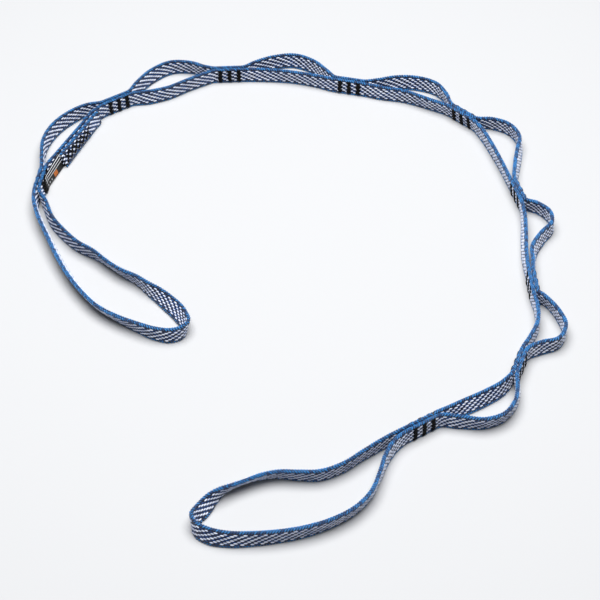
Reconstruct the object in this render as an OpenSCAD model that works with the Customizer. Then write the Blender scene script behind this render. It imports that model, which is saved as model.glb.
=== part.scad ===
// Daisy chain sling of flat woven web, lying in a loose C on its edge.
// One long loop of web is sewn to itself at nine stations. The stations leave eight
// pockets along the back of the C and one large eye at each end.

/* [Web] */
// Width of the web, which stands upright
web_w = 12; // [9:0.5:16]
// Thickness of one layer of web
web_t = 2.8; // [2:0.1:3.4]
// Bevel that rounds the woven edges
edge_bevel = 0.8; // [0.4:0.1:0.9]

/* [Sling] */
// Length from eye tip to eye tip when pulled straight
sling_l = 1060; // [900:10:1300]
// Length of each sewn station
station_l = 18; // [14:1:22]
// Slack where a pocket or eye folds against the next station
fold_gap = 1.4; // [1.2:0.1:2]

/* [Stitching] */
// Width of one bar tack, along the web
bar_w = 2.2; // [1.5:0.1:3]
// How far the thread stands proud of the web
thread_proud = 0.4; // [0.2:0.05:0.6]
// Thickness of the sewing thread where it goes through the web
thread_d = 0.8; // [0.5:0.1:1.2]
// Length of one arm of a cross stitch
cross_l = 9; // [7:0.5:10]
// Number of cross stitches on the splice
cross_n = 6; // [4:1:8]

/* [Label] */
// How far the label stops short of each edge of the web
label_inset = 0.8; // [0.8:0.1:2.5]
// Thickness of the label
label_t = 0.35; // [0.2:0.05:0.5]

/* [Hidden] */

// Sides of the web at a station: the outer layer lies left of the direction of travel.
OUTER = 1;
INNER = -1;

// Gap between the two layers of a station, and between the splice's lap and the web
layer_gap = 0.1;
lap_gap = label_t + 0.15;
// Longest step between two cross sections of the web
ring_step = 5;

// The sling is drawn by hand at this length, about this middle.
drawn_l = 1060;
drawn_middle = [-5, 21];
lie_scale = sling_l / drawn_l;

// The direction of travel runs from the left eye through station 1 to station 9.
// Each station is [x, y, heading, lean] at its middle, between its two layers.
// Lean tips the web's top edge to the left of the direction of travel.
stations = [
    [-183, 113, 83, 12],
    [-135, 200, 33, 6],
    [-53, 234, 3, 4],
    [37, 220, -13, 7],
    [120, 184, -43, -9],
    [154, 99, -75, -6],
    [157, 8, -86, 0],
    [142, -67, -110, 0],
    [77, -119, -147, -2]
];

// Route of the inner layer of each pocket, as [x, y, lean]
inner_ways = [
    [[-173, 138, 24], [-166, 153, 18], [-159, 168, 13], [-150, 186, 10]],
    [[-112, 207, 10], [-98, 212, 5], [-84, 221, 3], [-72, 228, 3]],
    [[-28, 233, 5], [-8, 231, -2], [12, 226, 0]],
    [[60, 212, 7], [77, 208, 0], [94, 200, -8]],
    [[132, 166, -3], [138, 150, -3], [143, 134, -5]],
    [[156, 76, 2], [155, 56, 9], [154, 36, 6]],
    [[158, -14, 0], [157, -30, 0], [151, -44, 0]],
    [[131, -85, -12], [119, -94, -20], [105, -102, -22], [94, -108, -13]]
];

// Route of the outer layer of each pocket, as [x, y, lean]
outer_ways = [
    [[-185, 136, 2], [-185, 152, 8], [-180, 168, 15], [-170, 182, 12], [-157, 192, 5]],
    [[-121, 218, 10], [-111, 232, 15], [-97, 242, 8], [-82, 242, -3], [-70, 237, -5]],
    [[-34, 242, 4], [-20, 248, 10], [-4, 250, 12], [10, 243, 9], [20, 232, 3]],
    [[58, 221, 5], [72, 224, 11], [88, 223, 12], [101, 217, 5], [109, 205, -8]],
    [[140, 177, -6], [152, 171, -3], [159, 158, -4], [157, 141, -15], [154, 124, -12]],
    [[166, 86, -5], [174, 77, -1], [175, 67, -2], [167, 55, -10], [160, 41, -14], [159, 29, -6]],
    [[164, -6, -8], [172, -20, -2], [175, -34, 3], [169, -46, 1], [158, -50, -6]],
    [[140, -88, -6], [137, -100, 4], [129, -111, 12], [117, -116, 10], [102, -115, -2]]
];

// Route of each eye, from its outer layer around the tip to its inner layer
left_eye_way = [
    [-186, 90, -8], [-181, 73, -16], [-174, 56, -19], [-166, 37, -22], [-156, 17, -26],
    [-145, 0, -28], [-134, -13, -29], [-121, -23, -24], [-108, -31, -12], [-96, -37, 1],
    [-85, -39, 6], [-78, -36, 0], [-75, -30, -15], [-78, -22, -32], [-82, -15, -42],
    [-88, -8, -38], [-94, -2, -26], [-102, 5, -6], [-110, 13, 10], [-121, 21, 22],
    [-131, 30, 24], [-140, 38, 15], [-152, 46, 5], [-163, 58, 0], [-172, 71, -2],
    [-178, 87, -4]
];
right_eye_way = [
    [61, -133, -5], [54, -145, -3], [49, -160, 4], [43, -175, 11], [33, -187, 15],
    [20, -196, 13], [4, -203, 7], [-13, -207, 1], [-29, -209, -7], [-44, -209, -15],
    [-56, -206, -20], [-63, -201, -8], [-65, -194, 12], [-61, -188, 30], [-56, -181, 26],
    [-51, -175, 0], [-44, -169, -25], [-35, -164, -32], [-25, -160, -27], [-13, -158, -20],
    [-1, -159, -13], [12, -159, -9], [26, -153, -9], [40, -142, -8], [55, -131, -3]
];

layer_off = (web_t + layer_gap) / 2;
bar_h = web_w - 2 * edge_bevel - 0.8;
bar_pitch = (station_l - bar_w) / 2 - 0.9;
pin_pitch = bar_h / 2 - thread_d;
label_w = web_w - 2 * label_inset;

// The web's cross section, thickness first, with its bevelled edges
flat_half = web_t / 2 - edge_bevel;
edge_half = web_w / 2 - edge_bevel;
web_section = [
    [web_t / 2, edge_half], [flat_half, web_w / 2],
    [-flat_half, web_w / 2], [-web_t / 2, edge_half],
    [-web_t / 2, -edge_half], [-flat_half, -web_w / 2],
    [flat_half, -web_w / 2], [web_t / 2, -edge_half]
];
label_section = [
    [label_t / 2, label_w / 2], [-label_t / 2, label_w / 2],
    [-label_t / 2, -label_w / 2], [label_t / 2, -label_w / 2]
];

// A label stands this far off the web over the bar tacks, and this far where it is tucked
label_over = thread_proud + 0.05 + label_t / 2;
label_tucked = 0.05 + label_t / 2;
label_start = 3 - station_l / 2;
label_leaves = 2;

// ---- Route geometry: a ring is [x, y, lean, heading, extra height] ----

function placed(p) = [
    (p.x - drawn_middle.x) * lie_scale, (p.y - drawn_middle.y) * lie_scale, p[2]
];
function placed_way(way) = [for (p = way) placed(p)];

// Height of the web's middle when its lowest corner rests on the ground
function lift(lean) = max([for (q = web_section) q.x * sin(lean) - q.y * cos(lean)]);

function station_heading(k) = stations[k - 1][2];
function station_lean(k) = stations[k - 1][3];

// A point of one layer of station k, this far along it from the middle
function station_point(k, along, side, turned = 1) =
    let(
        c = placed(stations[k - 1]),
        a = station_heading(k),
        off = side * layer_off / cos(station_lean(k))
    )
    [c.x + along * cos(a) - off * sin(a), c.y + along * sin(a) + off * cos(a), turned * station_lean(k)];

function span(a, b) = norm([b.x - a.x, b.y - a.y]);

// Slope of [x, y, lean] per millimetre at each point of a route with given end headings
function slopes(p, first, last) = [
    for (i = [0 : len(p) - 1])
        i == 0 ? [cos(first), sin(first), 0]
        : i == len(p) - 1 ? [cos(last), sin(last), 0]
        : let(before = span(p[i - 1], p[i]), after = span(p[i], p[i + 1]))
            ((p[i] - p[i - 1]) * after / before + (p[i + 1] - p[i]) * before / after)
            / (before + after)
];

// The ring at fraction u of the smooth curve between points i and i + 1
function ring_at(p, t, i, u) =
    let(
        d = span(p[i], p[i + 1]),
        at = (1 + 2 * u) * (1 - u) * (1 - u) * p[i] + u * (1 - u) * (1 - u) * d * t[i]
            + u * u * (3 - 2 * u) * p[i + 1] + u * u * (u - 1) * d * t[i + 1],
        way = 6 * u * (1 - u) * (p[i + 1] - p[i]) + (1 - u) * (1 - 3 * u) * d * t[i]
            + u * (3 * u - 2) * d * t[i + 1]
    )
    [at.x, at.y, at[2], atan2(way.y, way.x), 0];

function steps(p, i) = max(2, ceil(span(p[i], p[i + 1]) / ring_step));

function curve(p, t, first, last) = [
    for (i = [first : last - 1])
        let(n = steps(p, i))
        for (j = [(i == first ? 0 : 1) : n]) ring_at(p, t, i, j / n)
];

function station_ring(k, along, side, turned = 1) =
    concat(station_point(k, along, side, turned), [station_heading(k) + (turned < 0 ? 180 : 0), 0]);

// The ring moved sideways off the web's middle, towards its left
function beside(r, off) =
    let(c = off * cos(r[2]))
    [r[0] - c * sin(r[3]), r[1] + c * cos(r[3]), r[2], r[3], r[4] - off * sin(r[2])];

function ring_points(r, section) =
    let(n = [-sin(r[3]), cos(r[3])], z = lift(r[2]) + r[4])
    [
        for (q = section)
            let(out = q.x * cos(r[2]) + q.y * sin(r[2]))
            [r[0] + n.x * out, r[1] + n.y * out, z - q.x * sin(r[2]) + q.y * cos(r[2])]
    ];

module sweep(rings, section) {
    m = len(section);
    last = len(rings) - 1;
    points = [for (r = rings) each ring_points(r, section)];
    sides = [
        for (i = [0 : last - 1])
            for (j = [0 : m - 1])
                let(a = i * m + j, b = i * m + (j + 1) % m)
                each [[a, a + m, b + m], [a, b + m, b]]
    ];
    near_end = [for (j = [0 : m - 1]) j];
    far_end = [for (j = [m - 1 : -1 : 0]) last * m + j];
    polyhedron(points, concat(sides, [near_end, far_end]), convexity = 10);
}

// The two ends of a pocket: past station k, and short of the fold at station k + 1
function pocket_points(k, way, side) = concat(
    [station_point(k, station_l / 2, side)],
    placed_way(way),
    [station_point(k + 1, -station_l / 2 - fold_gap, side)]
);
function pocket_slopes(k, p) = slopes(p, station_heading(k), station_heading(k + 1));

// One layer of station k and the pocket wall that follows it
module pocket_web(k, way, side) {
    p = pocket_points(k, way, side);
    first = [station_ring(k, -station_l / 2, side)];
    sweep(concat(first, curve(p, pocket_slopes(k, p), 0, len(p) - 1)), web_section);
}

module inner_web(k) color([0.86, 0.9, 0.94]) pocket_web(k, inner_ways[k - 1], INNER);
module outer_web(k) color([0.35, 0.6, 0.85]) pocket_web(k, outer_ways[k - 1], OUTER);

// The left eye hangs on the fold in front of station 1.
module left_eye_web() {
    mouth = -station_l / 2 - fold_gap;
    h = station_heading(1);
    p = concat(
        [station_point(1, mouth, OUTER, -1)],
        placed_way(left_eye_way),
        [station_point(1, mouth, INNER)]
    );
    color([0.86, 0.9, 0.94]) sweep(curve(p, slopes(p, h + 180, h), 0, len(p) - 1), web_section);
}

// The right eye holds both layers of station 9, where the chain ends.
module right_eye_web() {
    k = len(stations);
    h = station_heading(k);
    p = concat(
        [station_point(k, station_l / 2, OUTER)],
        placed_way(right_eye_way),
        [station_point(k, station_l / 2, INNER, -1)]
    );
    rings = concat(
        [station_ring(k, -station_l / 2, OUTER)],
        curve(p, slopes(p, h, h + 180), 0, len(p) - 1),
        [station_ring(k, -station_l / 2, INNER, -1)]
    );
    color([0.86, 0.9, 0.94]) sweep(rings, web_section);
}

// Puts its children at a ring: x along the web, y out of its left face, z across it
module at_ring(r) {
    translate([r[0], r[1], lift(r[2])])
        rotate(r[3])
            rotate([-r[2], 0, 0])
                children();
}

module at_station(k) {
    c = placed(stations[k - 1]);
    at_ring([c.x, c.y, station_lean(k), station_heading(k)]) children();
}

// Threads that go through the web from y = 0 to y = depth at the height z
module through_thread(depth, z) {
    translate([0, depth / 2, z])
        rotate([90, 0, 0])
            cylinder(d = thread_d, h = abs(depth), center = true, $fn = 12);
}

// Three bars of dense zigzag stitching that hold both layers of a station
module bar_tacks(k) {
    face = web_t + layer_gap / 2;
    depth = face + thread_proud / 2;
    color([0.05, 0.05, 0.06])
        at_station(k)
            for (along = [-bar_pitch, 0, bar_pitch])
                translate([along, 0, 0]) {
                    for (side = [INNER, OUTER])
                        translate([0, side * (face + thread_proud / 2), 0])
                            cube([bar_w, thread_proud, bar_h], center = true);
                    for (z = [-pin_pitch, 0, pin_pitch])
                        translate([0, -depth, 0]) through_thread(2 * depth, z);
                }
}

// Pocket 1's inner wall, which carries the splice and the label
splice_route = pocket_points(1, inner_ways[0], INNER);
splice_slopes = pocket_slopes(1, splice_route);
// The lap runs from the cut end at the first point to the last point before the fold
lap_first = 1;
lap_last = len(splice_route) - 2;
lap_off = web_t + lap_gap;

// The loop's cut end, lapped on the inner face of pocket 1's inner wall
module splice_lap() {
    rings = [
        for (r = curve(splice_route, splice_slopes, lap_first, lap_last)) beside(r, -lap_off)
    ];
    color([0.9, 0.93, 0.96]) sweep(rings, web_section);
}

// A row of cross stitches that holds the lap
module splice_stitching() {
    face = lap_off + web_t / 2;
    crossed_spans = 2;
    inset = 0.28;
    color([0.05, 0.05, 0.06])
        for (i = [0 : cross_n - 1])
            let(
                q = inset + i * (crossed_spans - inset) / (cross_n - 1),
                whole = min(floor(q), crossed_spans - 1)
            )
            at_ring(ring_at(splice_route, splice_slopes, lap_first + whole, q - whole)) {
                for (turn = [-50, 50])
                    translate([0, -face - thread_proud / 2, 0])
                        rotate([0, turn, 0])
                            cube([cross_l, thread_proud, thread_d], center = true);
                translate([0, -face - thread_proud / 2, 0]) through_thread(face, 0);
            }
}

// Woven label, flat on station 1, then straight across to the lap's cut end and under it
module label() {
    on_station = web_t / 2 + label_over;
    tucked = web_t / 2 + label_tucked;
    tuck_n = steps(splice_route, 1);
    flat = [
        for (along = [label_start, label_leaves])
            beside(station_ring(1, along, INNER), -on_station)
    ];
    under = [
        for (j = [0, 1])
            beside(ring_at(splice_route, splice_slopes, lap_first, j / tuck_n), -tucked)
    ];
    across = [for (u = [1 / 4, 1 / 2, 3 / 4]) flat[1] * (1 - u) + under[0] * u];
    color([0.12, 0.12, 0.13]) sweep(concat(flat, across, under), label_section);
}

// The bar tack that holds the label's lower end to station 1
module label_stitching() {
    face = web_t + layer_gap / 2 + label_over + label_t / 2;
    color([0.05, 0.05, 0.06])
        at_station(1)
            translate([label_start + bar_w, -face - thread_proud / 2, 0]) {
                cube([bar_w, thread_proud, label_w - 1], center = true);
                for (z = [-pin_pitch + 1, 0, pin_pitch - 1])
                    through_thread(label_over + label_t + web_t / 2, z);
            }
}

left_eye_web();
right_eye_web();
for (k = [1 : len(stations) - 1]) {
    inner_web(k);
    outer_web(k);
}
for (k = [1 : len(stations)])
    bar_tacks(k);
splice_lap();
splice_stitching();
label();
label_stitching();
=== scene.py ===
"""Daisy chain sling of flat woven web: one loop of web sewn to itself at nine stations, which
leaves eight pockets along its back and a large eye at each end. It lies in a loose C on the
edge of its web. Lengths in the tables and sizes below are millimetres, angles are degrees.
"""

import math
import random

import bpy
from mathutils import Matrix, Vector


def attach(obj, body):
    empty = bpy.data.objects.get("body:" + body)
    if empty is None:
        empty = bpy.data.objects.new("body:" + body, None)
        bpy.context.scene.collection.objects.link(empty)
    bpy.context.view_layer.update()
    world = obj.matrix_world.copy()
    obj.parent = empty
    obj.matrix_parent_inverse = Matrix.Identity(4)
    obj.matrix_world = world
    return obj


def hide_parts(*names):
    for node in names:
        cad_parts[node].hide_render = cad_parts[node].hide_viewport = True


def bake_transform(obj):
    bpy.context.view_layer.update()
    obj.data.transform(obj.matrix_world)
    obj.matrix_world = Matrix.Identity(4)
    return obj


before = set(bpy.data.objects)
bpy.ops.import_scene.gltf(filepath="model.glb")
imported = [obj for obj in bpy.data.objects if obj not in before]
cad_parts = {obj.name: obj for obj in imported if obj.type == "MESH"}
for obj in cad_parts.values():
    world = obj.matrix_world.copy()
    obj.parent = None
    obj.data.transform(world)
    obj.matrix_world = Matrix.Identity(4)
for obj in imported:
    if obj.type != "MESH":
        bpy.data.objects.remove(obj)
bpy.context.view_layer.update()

# ------------------------------------------------------------------------------ The way it lies
# The sling was dropped on its edge. Each sewn station is [x, y, heading, lean] at its middle,
# from the left eye to the right one, and each free wall is a row of [x, y, lean] points.
# Lean tips the web's top edge to the left of the direction of travel.

MM = 0.001
DRAWN_MIDDLE = (-5, 21)
INNER_WAYS = [
    ((-173, 138, 24), (-166, 153, 18), (-159, 168, 13), (-150, 186, 10)),
    ((-112, 207, 10), (-98, 212, 5), (-84, 221, 3), (-72, 228, 3)),
    ((-28, 233, 5), (-8, 231, -2), (12, 226, 0)),
    ((60, 212, 7), (77, 208, 0), (94, 200, -8)),
    ((132, 166, -3), (138, 150, -3), (143, 134, -5)),
    ((156, 76, 2), (155, 56, 9), (154, 36, 6)),
    ((158, -14, 0), (157, -30, 0), (151, -44, 0)),
    ((131, -85, -12), (119, -94, -20), (105, -102, -22), (94, -108, -13))
]

OUTER_WAYS = [
    ((-185, 136, 2), (-185, 152, 8), (-180, 168, 15), (-170, 182, 12), (-157, 192, 5)),
    ((-121, 218, 10), (-111, 232, 15), (-97, 242, 8), (-82, 242, -3), (-70, 237, -5)),
    ((-34, 242, 4), (-20, 248, 10), (-4, 250, 12), (10, 243, 9), (20, 232, 3)),
    ((58, 221, 5), (72, 224, 11), (88, 223, 12), (101, 217, 5), (109, 205, -8)),
    ((140, 177, -6), (152, 171, -3), (159, 158, -4), (157, 141, -15), (154, 124, -12)),
    ((166, 86, -5), (174, 77, -1), (175, 67, -2), (167, 55, -10), (160, 41, -14), (159, 29, -6)),
    ((164, -6, -8), (172, -20, -2), (175, -34, 3), (169, -46, 1), (158, -50, -6)),
    ((140, -88, -6), (137, -100, 4), (129, -111, 12), (117, -116, 10), (102, -115, -2))
]

STATIONS = [
    (-183, 113, 83, 12),
    (-135, 200, 33, 6),
    (-53, 234, 3, 4),
    (37, 220, -13, 7),
    (120, 184, -43, -9),
    (154, 99, -75, -6),
    (157, 8, -86, 0),
    (142, -67, -110, 0),
    (77, -119, -147, -2)
]

LEFT_EYE_WAY = [
    (-186, 90, -8), (-181, 73, -16), (-174, 56, -19), (-166, 37, -22), (-156, 17, -26),
    (-145, 0, -28), (-134, -13, -29), (-121, -23, -24), (-108, -31, -12), (-96, -37, 1),
    (-85, -39, 6), (-78, -36, 0), (-75, -30, -15), (-78, -22, -32), (-82, -15, -42),
    (-88, -8, -38), (-94, -2, -26), (-102, 5, -6), (-110, 13, 10), (-121, 21, 22),
    (-131, 30, 24), (-140, 38, 15), (-152, 46, 5), (-163, 58, 0), (-172, 71, -2),
    (-178, 87, -4)
]

RIGHT_EYE_WAY = [
    (61, -133, -5), (54, -145, -3), (49, -160, 4), (43, -175, 11), (33, -187, 15),
    (20, -196, 13), (4, -203, 7), (-13, -207, 1), (-29, -209, -7), (-44, -209, -15),
    (-56, -206, -20), (-63, -201, -8), (-65, -194, 12), (-61, -188, 30), (-56, -181, 26),
    (-51, -175, 0), (-44, -169, -25), (-35, -164, -32), (-25, -160, -27), (-13, -158, -20),
    (-1, -159, -13), (12, -159, -9), (26, -153, -9), (40, -142, -8), (55, -131, -3)
]

WEB_WIDTH = 12.0
WEB_THICKNESS = 2.8
EDGE_BEVEL = 0.8
STATION_LENGTH = 18.0
FOLD_GAP = 1.4
LAYER_OFFSET = 1.45
FOLD = -(STATION_LENGTH + FOLD_GAP) / 2
CURVE_STEP = 1.5
OUTER, INNER = 1, -1


def lift(lean):
    """Height of the web's middle when its lowest corner rests on the ground."""
    s, c = math.sin(math.radians(lean)), math.cos(math.radians(lean))
    corners = [
        (WEB_THICKNESS / 2, WEB_WIDTH / 2 - EDGE_BEVEL),
        (WEB_THICKNESS / 2 - EDGE_BEVEL, WEB_WIDTH / 2),
    ]
    return max(x * abs(s) + y * c for x, y in corners)


def heading(k):
    return STATIONS[k - 1][2]


def placed(point):
    return (point[0] - DRAWN_MIDDLE[0], point[1] - DRAWN_MIDDLE[1], point[2])


def station_middle(k):
    return placed(STATIONS[k - 1])[:2]


def at_station(k, along, side, turned=1):
    """Middle of one layer of station k, this far along it."""
    x, y = station_middle(k)
    a, lean = math.radians(heading(k)), STATIONS[k - 1][3]
    off = side * LAYER_OFFSET / math.cos(math.radians(lean))
    return (
        x + along * math.cos(a) - off * math.sin(a),
        y + along * math.sin(a) + off * math.cos(a),
        turned * lean,
    )


def station_ring(k, along, side, turned=1):
    """A cross section of the web is (x, y, lean, heading)."""
    return (*at_station(k, along, side, turned), heading(k) + (0 if turned > 0 else 180))


def slopes(points, first, last):
    """Slope of (x, y, lean) per millimetre at each point of a route with given end headings."""
    found = [(math.cos(math.radians(first)), math.sin(math.radians(first)), 0)]
    for a, b, c in zip(points, points[1:], points[2:]):
        before, after = math.dist(a[:2], b[:2]), math.dist(b[:2], c[:2])
        found.append(
            tuple(
                ((q - p) * after / before + (r - q) * before / after) / (before + after)
                for p, q, r in zip(a, b, c)
            )
        )
    found.append((math.cos(math.radians(last)), math.sin(math.radians(last)), 0))
    return found


def ring_between(a, b, slope_a, slope_b, u):
    """The cross section at fraction u of the smooth curve from point a to point b."""
    d = math.dist(a[:2], b[:2])
    at = [
        (1 + 2 * u) * (1 - u) ** 2 * p
        + u * (1 - u) ** 2 * d * s
        + u * u * (3 - 2 * u) * q
        + u * u * (u - 1) * d * t
        for p, q, s, t in zip(a, b, slope_a, slope_b)
    ]
    way = [
        6 * u * (1 - u) * (q - p) + (1 - u) * (1 - 3 * u) * d * s + u * (3 * u - 2) * d * t
        for p, q, s, t in zip(a, b, slope_a, slope_b)
    ]
    return (at[0], at[1], at[2], math.degrees(math.atan2(way[1], way[0])))


def curve(points, tangents, first=0, last=None):
    """Cross sections along a route, from point first to point last."""
    last = len(points) - 1 if last is None else last
    rings = []
    for i in range(first, last):
        n = max(2, math.ceil(math.dist(points[i][:2], points[i + 1][:2]) / CURVE_STEP))
        for j in range(0 if i == first else 1, n + 1):
            rings.append(
                ring_between(points[i], points[i + 1], tangents[i], tangents[i + 1], j / n)
            )
    return rings


def beside(ring, off):
    """The cross section of a layer that lies against the web, this far to its left."""
    x, y, lean, way = ring
    a, off = math.radians(way), off / math.cos(math.radians(lean))
    return (x - off * math.sin(a), y + off * math.cos(a), lean, way)


def ahead_of(ring, along):
    """The cross section straight ahead of another one."""
    x, y, lean, way = ring
    a = math.radians(way)
    return (x + along * math.cos(a), y + along * math.sin(a), lean, way)


def point_in(ring, out, across):
    """A point of a cross section, in metres: out of the web's left face, and across the web."""
    x, y, lean, way = ring
    s, c = math.sin(math.radians(lean)), math.cos(math.radians(lean))
    a = math.radians(way)
    side = out * c + across * s
    return Vector(
        (
            (x - side * math.sin(a)) * MM,
            (y + side * math.cos(a)) * MM,
            (lift(lean) - out * s + across * c) * MM,
        )
    )


class Route:
    """A length of web as cross sections, read at any distance along it."""

    def __init__(self, rings):
        self.rings = [rings[0]]
        for ring in rings[1:]:
            turn = (ring[3] - self.rings[-1][3] + 180) % 360 - 180
            self.rings.append((*ring[:3], self.rings[-1][3] + turn))
        self.at = [0.0]
        for a, b in zip(self.rings, self.rings[1:]):
            self.at.append(self.at[-1] + math.dist(a[:2], b[:2]))
        self.length = self.at[-1]
        self.last = 0

    def ring(self, s):
        s = min(max(s, 0.0), self.length)
        while self.last > 0 and self.at[self.last] > s:
            self.last -= 1
        while self.last < len(self.at) - 2 and self.at[self.last + 1] < s:
            self.last += 1
        i = self.last
        u = (s - self.at[i]) / max(self.at[i + 1] - self.at[i], 1e-9)
        return tuple(p + (q - p) * u for p, q in zip(self.rings[i], self.rings[i + 1]))

    def stand(self, s, out, across, side):
        """A place on the web with the directions out of it, across it and along it."""
        ring = self.ring(s)
        here = point_in(ring, out, across)
        outward = (point_in(ring, out + side, across) - here).normalized()
        up = (point_in(ring, out, across + 1) - here).normalized()
        ahead = point_in(self.ring(s + CURVE_STEP / 2), out, across)
        behind = point_in(self.ring(s - CURVE_STEP / 2), out, across)
        return here, outward, up, (ahead - behind).normalized()


def pocket_route(k, side):
    way = (OUTER_WAYS if side == OUTER else INNER_WAYS)[k - 1]
    points = [
        at_station(k, STATION_LENGTH / 2, side),
        *[placed(p) for p in way],
        at_station(k + 1, FOLD - FOLD_GAP / 2, side),
    ]
    return points, slopes(points, heading(k), heading(k + 1))


def pocket_wall(k, side):
    """One layer of station k and the free wall after it, up to the fold at station k + 1."""
    return Route(
        [
            station_ring(k, FOLD, side),
            *curve(*pocket_route(k, side)),
            station_ring(k + 1, FOLD, side),
        ]
    )


def left_eye_route():
    mouth = FOLD - FOLD_GAP / 2
    points = [
        at_station(1, mouth, OUTER, -1),
        *[placed(p) for p in LEFT_EYE_WAY],
        at_station(1, mouth, INNER),
    ]
    rings = curve(points, slopes(points, heading(1) + 180, heading(1)))
    return Route([station_ring(1, FOLD, OUTER, -1), *rings, station_ring(1, FOLD, INNER)])


def right_eye_route():
    points = [
        at_station(9, STATION_LENGTH / 2, OUTER),
        *[placed(p) for p in RIGHT_EYE_WAY],
        at_station(9, STATION_LENGTH / 2, INNER, -1),
    ]
    rings = curve(points, slopes(points, heading(9), heading(9) + 180))
    return Route([station_ring(9, FOLD, OUTER), *rings, station_ring(9, FOLD, INNER, -1)])


# ------------------------------------------------------------------------------ The web
# Narrow web, woven flat: white polyethylene yarn and navy polyamide yarn cross in a steep
# diagonal twill, so each row shows short floats of one and then the other. A braided selvedge
# of bright blue polyamide wraps both edges.

TWILL_REPEAT = 6.0
TWILL_STEP = 2.0
ROWS = 8
ROW_PITCH = 1.03
GROUND_FACE = 1.1
SELVEDGE_PITCH = 1.8
SELVEDGE_OUT = 0.6
SELVEDGE_ACROSS = 5.3


def paint(code):
    """Linear colour of an sRGB hex value."""
    parts = [int(code[i : i + 2], 16) / 255 for i in (1, 3, 5)]
    return (*[c / 12.92 if c <= 0.04045 else ((c + 0.055) / 1.055) ** 2.4 for c in parts], 1)


def add(tree, kind, settings=None, links=None):
    """A node with its settings, and its inputs by name or number as values or sockets."""
    node = tree.nodes.new(kind)
    for name, value in (settings or {}).items():
        setattr(node, name, value)
    for key, value in (links or {}).items():
        if isinstance(value, bpy.types.NodeSocket):
            tree.links.new(value, node.inputs[key])
        else:
            node.inputs[key].default_value = value
    return node


def finish_named(name):
    """An empty material, its tree and its output node."""
    material = bpy.data.materials.new(name)
    material.use_nodes = True
    tree = material.node_tree
    tree.nodes.clear()
    return material, tree, add(tree, "ShaderNodeOutputMaterial")


def yarn(name, dark, light, roughness, shine, filament_mm):
    """Twisted multifilament yarn: a soft sheen, fine filament ridges and a slight change of
    tone from float to float."""
    material, tree, output = finish_named(name)
    place = add(tree, "ShaderNodeTexCoord")
    tone = add(tree, "ShaderNodeAttribute", {"attribute_name": "tone"})
    filaments = add(
        tree,
        "ShaderNodeTexNoise",
        {},
        {"Vector": place.outputs["Object"], "Scale": 1 / (filament_mm * MM), "Detail": 2.0},
    )
    worn = add(
        tree,
        "ShaderNodeMath",
        {"operation": "MULTIPLY_ADD", "use_clamp": True},
        {0: filaments.outputs["Fac"], 1: 0.5, 2: tone.outputs["Fac"]},
    )
    shade = add(
        tree,
        "ShaderNodeMapRange",
        {},
        {"Value": worn.outputs[0], "From Min": 0.15, "From Max": 1.2},
    )
    colour = add(
        tree,
        "ShaderNodeMix",
        {"data_type": "RGBA"},
        {0: shade.outputs[0], 6: paint(dark), 7: paint(light)},
    )
    ridges = add(
        tree,
        "ShaderNodeBump",
        {},
        {"Height": filaments.outputs["Fac"], "Strength": 0.35, "Distance": 0.1 * MM},
    )
    surface = add(
        tree,
        "ShaderNodeBsdfPrincipled",
        {},
        {
            "Base Color": colour.outputs[2],
            "Normal": ridges.outputs[0],
            "Roughness": roughness,
            "Specular IOR Level": shine,
            "Sheen Weight": 0.1 * shine,
            "Sheen Roughness": 0.4,
        },
    )
    tree.links.new(surface.outputs[0], output.inputs["Surface"])
    return material


# Polyethylene yarn is bright white and slick. Polyamide takes dye, and is a little duller.
# The real filaments are far finer than the last number, and are drawn coarse so they show.
white_yarn = yarn("white_polyethylene_yarn", "#BFCBE8", "#EAF0FF", 0.45, 0.5, 0.35)
navy_yarn = yarn("navy_polyamide_yarn", "#081C46", "#205499", 0.55, 0.3, 0.35)
blue_yarn = yarn("blue_polyamide_yarn", "#07285F", "#2F8AD3", 0.4, 0.5, 0.35)


def web_ground_with_painted_shade():
    """Navy weft and binding yarns between the floats, as ribs about 0.75 mm apart. Their navy is
    darkened to near black as painted shade for the deep recesses between the floats.
    """
    material, tree, output = finish_named("navy_ground_with_painted_shade")
    place = add(tree, "ShaderNodeUVMap", {"uv_map": "web"})
    ribs = add(
        tree,
        "ShaderNodeTexWave",
        {"wave_type": "BANDS", "bands_direction": "X"},
        {"Vector": place.outputs[0], "Scale": 0.42, "Distortion": 0.6, "Detail": 1.0},
    )
    # Near-black navy: the yarn's own navy, darkened further as painted shade in the recesses
    # between floats.
    colour = add(
        tree,
        "ShaderNodeMix",
        {"data_type": "RGBA"},
        {0: ribs.outputs["Fac"], 6: paint("#040916"), 7: paint("#0A1738")},
    )
    relief = add(
        tree,
        "ShaderNodeBump",
        {},
        {"Height": ribs.outputs["Fac"], "Strength": 0.6, "Distance": 0.2 * MM},
    )
    surface = add(
        tree,
        "ShaderNodeBsdfPrincipled",
        {},
        {
            "Base Color": colour.outputs[2],
            "Normal": relief.outputs[0],
            "Roughness": 0.65,
            "Sheen Weight": 0.2,
        },
    )
    tree.links.new(surface.outputs[0], output.inputs["Surface"])
    return material


ground_with_painted_shade = web_ground_with_painted_shade()


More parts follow.
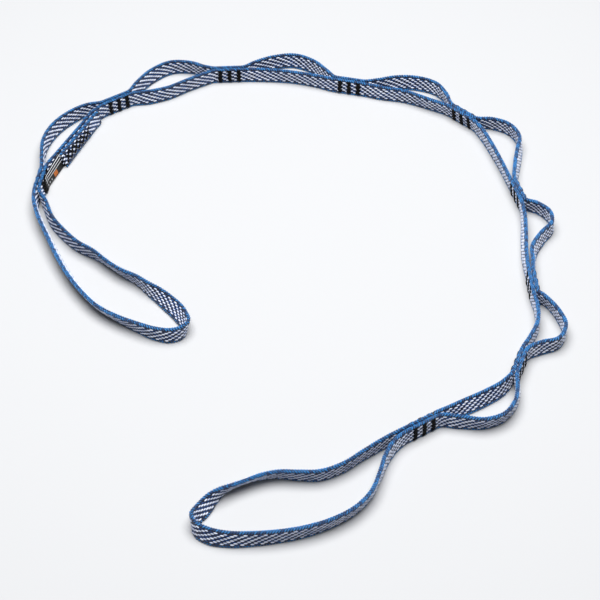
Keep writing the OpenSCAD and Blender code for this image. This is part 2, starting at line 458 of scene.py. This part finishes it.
def float_tree():
    """Geometry Nodes tree that lays one blunt, rounded float of yarn on each guide point."""
    tree = bpy.data.node_groups.new("lay_floats", "GeometryNodeTree")
    tree.interface.new_socket("Guides", in_out="INPUT", socket_type="NodeSocketGeometry")
    for name, kind in [
        ("Length", "NodeSocketFloat"),
        ("Width", "NodeSocketFloat"),
        ("Height", "NodeSocketFloat"),
        ("Unevenness", "NodeSocketFloat"),
        ("Seed", "NodeSocketInt"),
        ("Yarn", "NodeSocketMaterial"),
    ]:
        tree.interface.new_socket(name, in_out="INPUT", socket_type=kind)
    tree.interface.new_socket("Floats", in_out="OUTPUT", socket_type="NodeSocketGeometry")
    given = add(tree, "NodeGroupInput").outputs
    ball = add(tree, "GeometryNodeMeshUVSphere", {}, {"Segments": 8, "Rings": 4, "Radius": 0.5})
    here = add(tree, "GeometryNodeInputPosition")
    parts = add(tree, "ShaderNodeSeparateXYZ", {}, {0: here.outputs[0]})
    square = add(
        tree,
        "ShaderNodeMath",
        {"operation": "MULTIPLY"},
        {0: parts.outputs[0], 1: parts.outputs[0]},
    )
    fuller = add(
        tree,
        "ShaderNodeMath",
        {"operation": "MULTIPLY_ADD"},
        {0: square.outputs[0], 1: -0.8, 2: 1.2},
    )
    blunt = add(
        tree,
        "ShaderNodeMath",
        {"operation": "MULTIPLY"},
        {0: fuller.outputs[0], 1: parts.outputs[0]},
    )
    moved = add(
        tree,
        "ShaderNodeCombineXYZ",
        {},
        {0: blunt.outputs[0], 1: parts.outputs[1], 2: parts.outputs[2]},
    )
    shape = add(
        tree,
        "GeometryNodeSetPosition",
        {},
        {"Geometry": ball.outputs[0], "Position": moved.outputs[0]},
    )
    out = add(
        tree,
        "GeometryNodeInputNamedAttribute",
        {"data_type": "FLOAT_VECTOR"},
        {"Name": "out"},
    )
    along = add(
        tree,
        "GeometryNodeInputNamedAttribute",
        {"data_type": "FLOAT_VECTOR"},
        {"Name": "along"},
    )
    turn = add(
        tree,
        "FunctionNodeAxesToRotation",
        {"primary_axis": "Z", "secondary_axis": "X"},
        {0: out.outputs[0], 1: along.outputs[0]},
    )
    low = add(tree, "ShaderNodeMath", {"operation": "SUBTRACT"}, {0: 1.0, 1: given["Unevenness"]})
    high = add(tree, "ShaderNodeMath", {"operation": "ADD"}, {0: 1.0, 1: given["Unevenness"]})
    uneven = add(
        tree,
        "FunctionNodeRandomValue",
        {"data_type": "FLOAT"},
        {2: low.outputs[0], 3: high.outputs[0], "Seed": given["Seed"]},
    )
    size = add(
        tree,
        "ShaderNodeCombineXYZ",
        {},
        {0: given["Length"], 1: given["Width"], 2: given["Height"]},
    )
    scale = add(
        tree,
        "ShaderNodeVectorMath",
        {"operation": "SCALE"},
        {0: size.outputs[0], "Scale": uneven.outputs[1]},
    )
    laid = add(
        tree,
        "GeometryNodeInstanceOnPoints",
        {},
        {
            "Points": given["Guides"],
            "Instance": shape.outputs[0],
            "Rotation": turn.outputs[0],
            "Scale": scale.outputs[0],
        },
    )
    shades = add(
        tree,
        "FunctionNodeRandomValue",
        {"data_type": "FLOAT"},
        {2: 0.0, 3: 1.0, "Seed": given["Seed"]},
    )
    toned = add(
        tree,
        "GeometryNodeStoreNamedAttribute",
        {"data_type": "FLOAT", "domain": "INSTANCE"},
        {"Geometry": laid.outputs[0], "Name": "tone", "Value": shades.outputs[1]},
    )
    real = add(tree, "GeometryNodeRealizeInstances", {}, {0: toned.outputs[0]})
    smooth = add(tree, "GeometryNodeSetShadeSmooth", {}, {"Geometry": real.outputs[0]})
    dressed = add(
        tree,
        "GeometryNodeSetMaterial",
        {},
        {"Geometry": smooth.outputs[0], "Material": given["Yarn"]},
    )
    add(tree, "NodeGroupOutput", {}, {0: dressed.outputs[0]})
    return tree


lay_floats = float_tree()


def new_object(name, mesh):
    made = bpy.data.objects.new(name, mesh)
    bpy.context.scene.collection.objects.link(made)
    return made


def floats(name, guides, length, width, height, unevenness, seed, material):
    """Floats of one yarn, in millimetres, on guides of (place, out, along)."""
    mesh = bpy.data.meshes.new(name)
    mesh.from_pydata([tuple(g[0]) for g in guides], [], [])
    for i, attribute in enumerate(("out", "along"), 1):
        values = mesh.attributes.new(attribute, "FLOAT_VECTOR", "POINT")
        values.data.foreach_set("vector", [c for g in guides for c in g[i]])
    made = new_object(name, mesh)
    modifier = made.modifiers.new("lay", "NODES")
    modifier.node_group = lay_floats
    given = {
        "Length": length * MM,
        "Width": width * MM,
        "Height": height * MM,
        "Unevenness": unevenness,
        "Seed": seed,
        "Yarn": material,
    }
    for item in lay_floats.interface.items_tree:
        if item.in_out == "INPUT" and item.name in given:
            modifier[item.identifier] = given[item.name]
    seen = bpy.context.evaluated_depsgraph_get()
    real = bpy.data.meshes.new_from_object(
        made.evaluated_get(seen), preserve_all_data_layers=True, depsgraph=seen
    )
    made.modifiers.clear()
    made.data = real
    return made


def joined(name, objects):
    """One piece from several finished meshes."""
    first = objects[0]
    with bpy.context.temp_override(
        active_object=first,
        object=first,
        selected_editable_objects=objects,
        selected_objects=objects,
    ):
        bpy.ops.object.join()
    first.name = first.data.name = name
    return first


# Half of the ground's cross section, on the left face from the top edge down
GROUND_SECTION = [
    (0.0, 5.75),
    (0.55, 5.6),
    (0.95, 5.2),
    (GROUND_FACE, 4.5),
    (GROUND_FACE, 2.2),
    (GROUND_FACE, 0.0),
    (GROUND_FACE, -2.2),
    (GROUND_FACE, -4.5),
    (0.95, -5.2),
    (0.55, -5.6),
]
ground_loop = GROUND_SECTION + [(-x, -y) for x, y in GROUND_SECTION]


def strip(name, route, loop, material):
    """A closed strip swept along a route, with a UV map in millimetres along and across it."""
    n = len(loop)
    points = [point_in(r, x, y) for r in route.rings for x, y in loop]
    faces = []
    for i in range(len(route.rings) - 1):
        for j in range(n):
            a, b = i * n + j, i * n + (j + 1) % n
            faces.append((a, a + n, b + n, b))
    first, last = len(faces), len(faces) + 1
    faces += [tuple(range(n)), tuple(range(len(points) - 1, len(points) - 1 - n, -1))]
    mesh = bpy.data.meshes.new(name)
    mesh.from_pydata([tuple(p) for p in points], [], faces)
    mesh.polygons.foreach_set("use_smooth", [f not in (first, last) for f in range(len(faces))])
    layer = mesh.uv_layers.new(name="web")
    for face in mesh.polygons:
        for corner, v in zip(face.loop_indices, face.vertices):
            layer.data[corner].uv = (route.at[v // n], loop[v % n][1])
    mesh.materials.append(material)
    mesh.validate()
    return new_object(name, mesh)


def twill(route, shift, turned):
    """Guides of one yarn's floats on both faces: each row starts a third of a repeat later, or
    earlier within the turned stretch. The real web seems to turn over there with a half twist,
    which this route doesn't follow: only the diagonal changes direction."""
    count = max(1, round(route.length / TWILL_REPEAT))
    repeat = route.length / count
    guides = []
    for row in range(ROWS):
        across = ROW_PITCH * ((ROWS - 1) / 2 - row)
        for turn in (1, -1):
            start = (shift + turn * row * TWILL_STEP / TWILL_REPEAT) % 1 * repeat
            places = [start + n * repeat for n in range(count)]
            kept = [s for s in places if (turned[0] <= s < turned[1]) == (turn == -1)]
            for s in kept:
                for side in (1, -1):
                    here, out, _, along = route.stand(s, side * GROUND_FACE, across, side)
                    guides.append((here, out, along))
    return guides


def selvedge(route):
    """Guides of the blue braid: two slanted stitches side by side on each edge."""
    count = max(1, round(route.length / SELVEDGE_PITCH))
    guides = []
    for n in range(count):
        for edge in (1, -1):
            for side in (1, -1):
                s = (n + (0.5 if side > 0 else 0.0)) * route.length / count
                here, out, up, along = route.stand(
                    s, side * SELVEDGE_OUT, edge * SELVEDGE_ACROSS, side
                )
                slant = (along * 0.62 + out * edge * 0.75).normalized()
                guides.append((here, (up * edge * 0.8 + out * 0.6).normalized(), slant))
    return guides


def web(name, route, seed, turned=(0, 0)):
    """The ground of one length of web, and its white, navy and blue yarns as one piece."""
    ground = strip(name + "_ground", route, ground_loop, ground_with_painted_shade)
    white, navy = twill(route, 0.0, turned), twill(route, 0.5, turned)
    blue = selvedge(route)
    yarns = joined(
        name + "_yarns",
        [
            floats(name + "_white", white, 2.7, 1.08, 1.0, 0.08, seed, white_yarn),
            floats(name + "_navy", navy, 2.6, 0.8, 0.35, 0.08, seed + 1, navy_yarn),
            floats(name + "_blue", blue, 2.3, 1.0, 1.2, 0.1, seed + 2, blue_yarn),
        ],
    )
    return ground, yarns


def dress(pieces, node, body, next_body=None):
    """Sets the web pieces of one CAD node in place, and hides the node. Without a next body the
    pieces follow the given body; with one, their place is only baked into their meshes."""
    for piece in pieces:
        if next_body:
            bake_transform(piece)
        else:
            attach(piece, body)
        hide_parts(node)


# How far along each eye the twill's diagonal runs the other way
LEFT_EYE_TURNED = (0, 292)
RIGHT_EYE_TURNED = (254, 400)

route = left_eye_route()
pieces = web("left_eye", route, 10, LEFT_EYE_TURNED)
dress(pieces, "left_eye_web", "left_eye", "link_1")

for k in range(1, 9):
    next_body = "right_eye" if k == 8 else "link_%d" % (k + 1)
    for side, layer in ((INNER, "inner"), (OUTER, "outer")):
        route = pocket_wall(k, side)
        pieces = web("%s_wall_%d" % (layer, k), route, 100 * k + 10 * side)
        node = "%s_web_%d" % (layer, k)
        dress(pieces, node, "link_%d" % k, next_body)

route = right_eye_route()
pieces = web("right_eye", route, 20, RIGHT_EYE_TURNED)
dress(pieces, "right_eye_web", "right_eye")

# ------------------------------------------------------------------------------ The bar tacks
# Each station is sewn with three bar tacks: dense zigzag stitching in thick black polyester
# thread, machined through both layers so that it stands proud on both faces.

BAR_PITCH = 7.0
BAR_WIDTH = 2.2
BAR_HEIGHT = 9.4
STITCH_PITCH = 0.47
STITCH_WANDER = 0.35
STITCH_SLANT = 0.16
STATION_FACE = 2.85

black_thread = yarn("black_polyester_thread", "#010102", "#060608", 0.6, 0.15, 0.3)


def bar_stitches(route, s, face, height, side, chance):
    """Zigzag stitches of one bar on one face, each a little longer or shorter, and slanted."""
    guides = []
    count = round(height / STITCH_PITCH)
    for n in range(count + 1):
        across = height * (0.5 - n / count)
        at = s + chance.uniform(-STITCH_WANDER, STITCH_WANDER)
        here, out, up, along = route.stand(at, side * face, across, side)
        slant = (along + up * (STITCH_SLANT if n % 2 else -STITCH_SLANT)).normalized()
        guides.append((here, out, slant))
    return guides


for k in range(1, 10):
    chance = random.Random(k)
    middle = (*station_middle(k), STATIONS[k - 1][3], heading(k))
    station = Route([ahead_of(middle, -STATION_LENGTH / 2), ahead_of(middle, STATION_LENGTH / 2)])
    guides = []
    for bar in (-BAR_PITCH, 0.0, BAR_PITCH):
        for side in (1, -1):
            s = STATION_LENGTH / 2 + bar
            guides += bar_stitches(station, s, STATION_FACE, BAR_HEIGHT, side, chance)
    stitches = floats(
        "bar_stitches_%d" % k, guides, BAR_WIDTH + 1.1, 0.8, 1.0, 0.18, 500 + k, black_thread
    )
    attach(stitches, "right_eye" if k == 9 else "link_%d" % k)
    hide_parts("bar_tacks_%d" % k)

# ------------------------------------------------------------------------------ The splice
# The loop is closed by lapping its cut end on the inner face of pocket 1's inner wall, and
# sewing it down with a row of six crosses in thick black polyester thread.

LAP_OFFSET = WEB_THICKNESS + 0.5
CROSSES = 6
CROSS_LENGTH = 9.0
CROSS_ANGLE = 50
ARM_STITCHES = 4
FIRST_CROSS = 0.28
LAST_CROSS = 2
CROSS_FACE = -1.5
CROSS_REACH = 6

splice_points, splice_slopes = pocket_route(1, INNER)
lap_last = len(splice_points) - 2
lap_rings = curve(splice_points, splice_slopes, 1, lap_last)
lap = Route([beside(ring, -LAP_OFFSET) for ring in lap_rings])
dress(web("splice_lap", lap, 30), "splice_lap", "link_1")

chance = random.Random(77)
arms = []
for i in range(CROSSES):
    q = FIRST_CROSS + i * (LAST_CROSS - FIRST_CROSS) / (CROSSES - 1)
    part = min(int(q), 1)
    ring = ring_between(
        splice_points[1 + part],
        splice_points[2 + part],
        splice_slopes[1 + part],
        splice_slopes[2 + part],
        q - part,
    )
    ring = beside(ring, -LAP_OFFSET)
    cross = Route([ahead_of(ring, -CROSS_REACH), ahead_of(ring, CROSS_REACH)])
    for turn in (-CROSS_ANGLE, CROSS_ANGLE):
        c, s = math.cos(math.radians(turn)), math.sin(math.radians(turn))
        for n in range(ARM_STITCHES):
            d = CROSS_LENGTH * (n - (ARM_STITCHES - 1) / 2) / ARM_STITCHES
            across = d * s + chance.uniform(-0.1, 0.1)
            here, out, up, along = cross.stand(CROSS_REACH + d * c, CROSS_FACE, across, -1)
            arms.append((here, out, (along * c + up * s).normalized()))
crosses = floats("cross_stitches", arms, 3.3, 1.3, 1.2, 0.08, 600, black_thread)
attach(crosses, "link_1")
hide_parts("splice_stitching")

# ------------------------------------------------------------------------------ The label
# A satin woven label in black, with white lines along its upper half, and a row of plain
# white marks and an orange patch in its lower half. Its lower end is bar tacked to station 1,
# and its upper end is tucked under the lap's cut end.

LABEL_WIDTH = 10.4
LABEL_THICKNESS = 0.35
LABEL_START = 3 - STATION_LENGTH / 2
TACK_REACH = 3
OVER_BARS = WEB_THICKNESS / 2 + 0.45 + LABEL_THICKNESS / 2
TUCKED = WEB_THICKNESS / 2 + 0.05 + LABEL_THICKNESS / 2


def label_finish():
    """Satin woven label: a fine grain of weft over black, with the marks woven in."""
    material, tree, output = finish_named("satin_woven_label")
    place = add(tree, "ShaderNodeUVMap", {"uv_map": "web"})
    parts = add(tree, "ShaderNodeSeparateXYZ", {}, {0: place.outputs[0]})
    along, across = parts.outputs[0], parts.outputs[1]

    def maths(operation, a, b):
        return add(tree, "ShaderNodeMath", {"operation": operation}, {0: a, 1: b}).outputs[0]

    def between(value, low, high):
        above, below = maths("GREATER_THAN", value, low), maths("LESS_THAN", value, high)
        return maths("MULTIPLY", above, below)

    # Millimetres across the label from its middle line, and along it from its lower end
    lines = maths("MAXIMUM", between(across, 3.7, 4.2), between(across, 1.6, 2.1))
    lines = maths("MAXIMUM", lines, between(across, -0.5, 0.0))
    lines = maths("MULTIPLY", lines, between(along, 4.5, 40.0))
    beat = maths("PINGPONG", along, 1.6)
    marks = maths("MULTIPLY", between(beat, -0.1, 0.6), between(across, -3.9, -2.5))
    marks = maths("MULTIPLY", marks, between(along, 5.0, 15.0))
    patch = maths("MULTIPLY", between(across, -4.7, -1.1), between(along, 17.0, 22.0))
    grain = add(
        tree,
        "ShaderNodeTexNoise",
        {},
        {"Vector": place.outputs[0], "Scale": 2.5, "Detail": 2.0},
    )
    black = add(
        tree,
        "ShaderNodeMix",
        {"data_type": "RGBA"},
        {0: grain.outputs["Fac"], 6: paint("#040405"), 7: paint("#101013")},
    )
    lined = add(
        tree,
        "ShaderNodeMix",
        {"data_type": "RGBA"},
        {0: maths("MAXIMUM", lines, marks), 6: black.outputs[2], 7: paint("#E9ECF2")},
    )
    patched = add(
        tree,
        "ShaderNodeMix",
        {"data_type": "RGBA"},
        {0: patch, 6: lined.outputs[2], 7: paint("#E07A24")},
    )
    relief = add(
        tree,
        "ShaderNodeBump",
        {},
        {"Height": grain.outputs["Fac"], "Strength": 0.3, "Distance": 0.1 * MM},
    )
    surface = add(
        tree,
        "ShaderNodeBsdfPrincipled",
        {},
        {
            "Base Color": patched.outputs[2],
            "Normal": relief.outputs[0],
            "Roughness": 0.5,
            "Specular IOR Level": 0.25,
        },
    )
    tree.links.new(surface.outputs[0], output.inputs["Surface"])
    return material


flat = [beside(station_ring(1, d, INNER), -OVER_BARS) for d in (LABEL_START, -2.0, 2.0)]
tucked = [
    beside(
        ring_between(
            splice_points[1], splice_points[2], splice_slopes[1], splice_slopes[2], u
        ),
        -TUCKED,
    )
    for u in (0, 0.125, 0.25)
]
straight = [
    tuple(p + (q - p) * u for p, q in zip(flat[-1], tucked[0])) for u in (0.2, 0.4, 0.6, 0.8)
]
half = LABEL_WIDTH / 2
face = LABEL_THICKNESS / 2
label_loop = [
    (-face, 0.0),
    (-face, half),
    (face, half),
    (face, 0.0),
    (face, -half),
    (-face, -half),
]
laid = Route(flat + straight + tucked)
label = strip("woven_label", laid, label_loop, label_finish())
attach(label, "link_1")
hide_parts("label")

chance = random.Random(5)
tack_ring = station_ring(1, LABEL_START + BAR_WIDTH, INNER)
tack = Route([ahead_of(tack_ring, -TACK_REACH), ahead_of(tack_ring, TACK_REACH)])
guides = bar_stitches(tack, TACK_REACH, OVER_BARS + face, LABEL_WIDTH - 1, -1, chance)
tack_stitches = floats(
    "label_bar_stitches", guides, BAR_WIDTH + 0.5, 0.75, 0.8, 0.14, 700, black_thread
)
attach(tack_stitches, "link_1")
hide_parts("label_stitching")

# ------------------------------------------------------------------------------ Stage
# A plain white paper floor under one broad, soft light from above, and a camera that looks
# down at the sling from the front.

floor_mesh = bpy.data.meshes.new("floor")
floor_mesh.from_pydata([(-3, -3, 0), (3, -3, 0), (3, 3, 0), (-3, 3, 0)], [], [(0, 1, 2, 3)])
floor = new_object("floor", floor_mesh)
floor_finish, tree, output = finish_named("white_paper")
surface = add(
    tree,
    "ShaderNodeBsdfPrincipled",
    {},
    {"Base Color": paint("#C9CACC"), "Roughness": 0.9, "Specular IOR Level": 0.1},
)
tree.links.new(surface.outputs[0], output.inputs["Surface"])
floor_mesh.materials.append(floor_finish)

world = bpy.data.worlds.new("studio")
bpy.context.scene.world = world
world.use_nodes = True
world.node_tree.nodes["Background"].inputs["Color"].default_value = (1, 1, 1, 1)
world.node_tree.nodes["Background"].inputs["Strength"].default_value = 0.12


def softbox(name, place, towards, size, power):
    light = bpy.data.lights.new(name, "AREA")
    light.shape = "DISK"
    light.size = size
    light.energy = power
    lamp = bpy.data.objects.new(name, light)
    lamp.location = place
    lamp.rotation_euler = (Vector(towards) - Vector(place)).to_track_quat("-Z", "Y").to_euler()
    bpy.context.scene.collection.objects.link(lamp)


softbox("overhead_softbox", (0.0, 0.1, 1.5), (0, 0, 0), 1.6, 43)

bpy.context.scene.view_settings.view_transform = "Standard"

lens = bpy.data.cameras.new("camera")
lens.lens = 125.4
lens.sensor_width = 36
lens.clip_start = 0.01
camera = bpy.data.objects.new("camera", lens)
camera.location = (0.005, -1.0168, 0.9958)
camera.rotation_euler = (math.radians(45), 0, 0)
bpy.context.scene.collection.objects.link(camera)
bpy.context.scene.camera = camera
